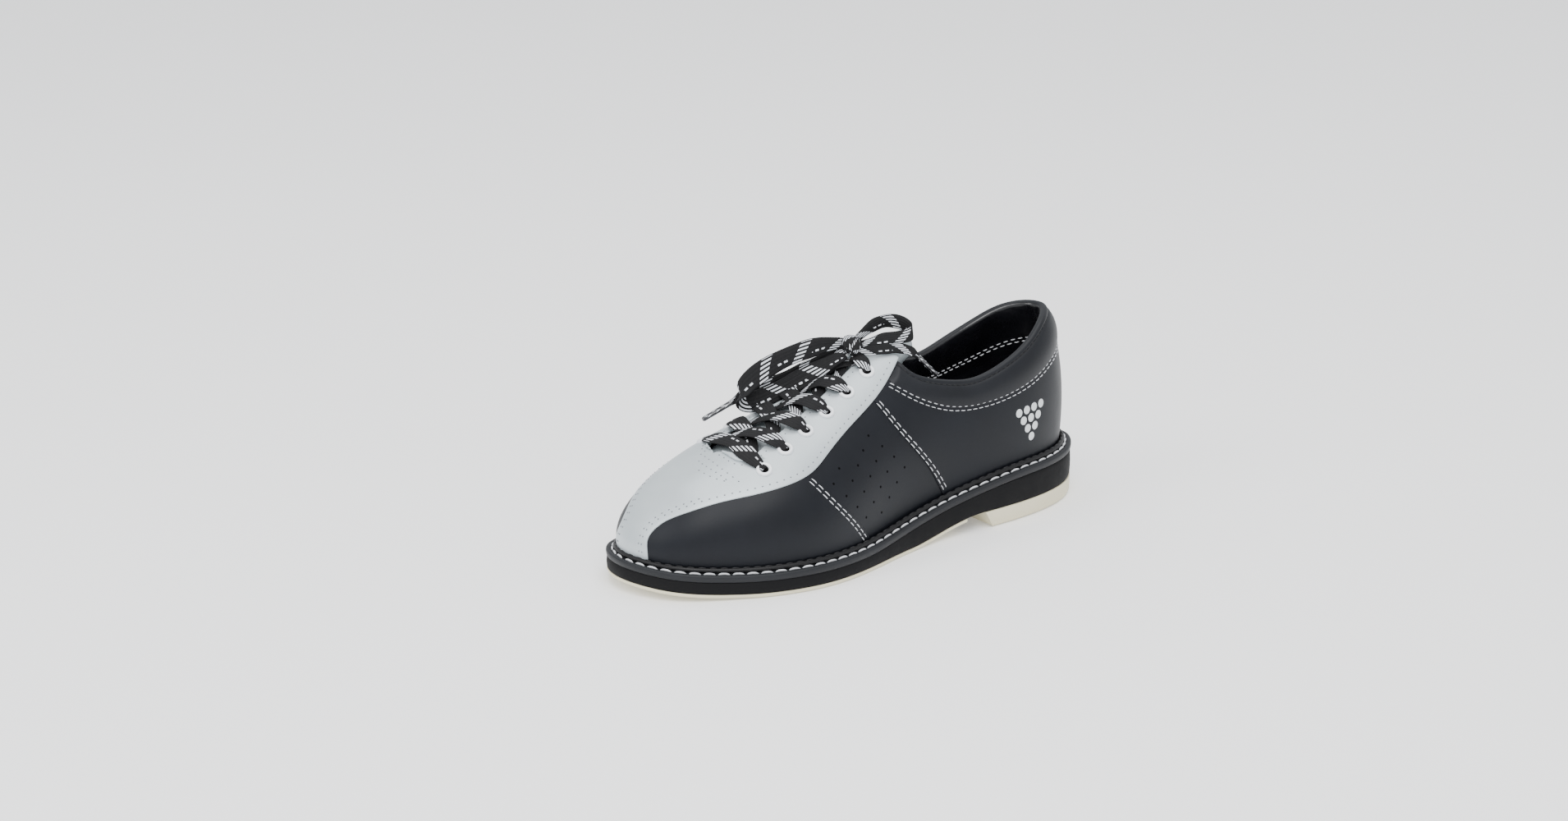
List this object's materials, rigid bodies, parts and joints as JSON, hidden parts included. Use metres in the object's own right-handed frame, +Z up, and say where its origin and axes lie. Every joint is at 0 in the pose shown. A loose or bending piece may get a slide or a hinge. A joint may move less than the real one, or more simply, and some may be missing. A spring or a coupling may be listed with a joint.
{
  "type": "bowling shoe",
  "caption": "Left laced bowling shoe with a toe-to-throat centre stripe, stitched welt, separate heel pad, padded collar and a tongue hinged at the throat.",
  "frame": {"origin": "floor plane under the middle of the bounding box of the shoe without the bow's loops, tails and knot", "axes": "+Z up, toe towards -Y, outer side towards +X"},
  "size_m": [0.1067, 0.2897, 0.1115],
  "materials": {
    "cream_rubber": "smooth cream rubber",
    "black_eva": "matte black foam",
    "welt_rubber": "dark grey moulded strip",
    "cork": "ground cork",
    "spring_steel": "blued spring steel",
    "board": "pressed fibre board",
    "silver_leather": "pearl silver coated leather",
    "black_leather": "smooth black leather with a soft sheen",
    "black_lining": "thin glossy black lining",
    "foam": "open-cell padding",
    "stiffener": "thermoformed stiffener sheet",
    "white_enamel": "white enamel on metal",
    "lace_braid": "black flat braid with white flecks",
    "clear_tip": "clear film over the braid"
  },
  "bodies": {
    "root": {"forefoot_outsole": "cream_rubber", "heel_pad": "cream_rubber", "midsole": "black_eva", "welt": "welt_rubber", "welt_bead": "welt_rubber", "bottom_filler": "cork", "steel_shank": "spring_steel", "insole_board": "board", "footbed": "black_lining", "toe_stripe": "silver_leather", "eyestay_lateral": "silver_leather", "eyestay_medial": "silver_leather", "vamp_lateral": "black_leather", "side_panel_lateral": "black_leather", "heel_quarter_lateral": "black_leather", "vamp_lining_lateral": "black_lining", "quarter_lining_lateral": "black_lining", "eyestay_lining_lateral": "black_lining", "eyelet_lateral_1": "white_enamel", "eyelet_lateral_2": "white_enamel", "eyelet_lateral_3": "white_enamel", "eyelet_lateral_4": "white_enamel", "eyelet_lateral_5": "white_enamel", "eyelet_lateral_6": "white_enamel", "vamp_medial": "black_leather", "side_panel_medial": "black_leather", "heel_quarter_medial": "black_leather", "vamp_lining_medial": "black_lining", "quarter_lining_medial": "black_lining", "eyestay_lining_medial": "black_lining", "eyelet_medial_1": "white_enamel", "eyelet_medial_2": "white_enamel", "eyelet_medial_3": "white_enamel", "eyelet_medial_4": "white_enamel", "eyelet_medial_5": "white_enamel", "eyelet_medial_6": "white_enamel", "collar": "black_leather", "collar_lining": "black_lining", "collar_foam": "foam", "toe_puff": "stiffener", "heel_counter": "stiffener", "lacing": "lace_braid", "lace_knot": "lace_braid", "lace_loop_front": "lace_braid", "lace_loop_rear": "lace_braid", "lace_tail_front": "lace_braid", "lace_tail_rear": "lace_braid", "aglet_front": "clear_tip", "aglet_rear": "clear_tip"},
    "tongue": {"tongue": "silver_leather", "tongue_foam": "foam", "tongue_lining": "black_lining"}
  },
  "joints": [
    {"name": "tongue_fold", "type": "hinge", "parent": "root", "child": "tongue", "pos_m": [0, -0.084, 0.0565], "axis": [1, 0, 0], "range_deg": [-10, 0]}
  ]
}
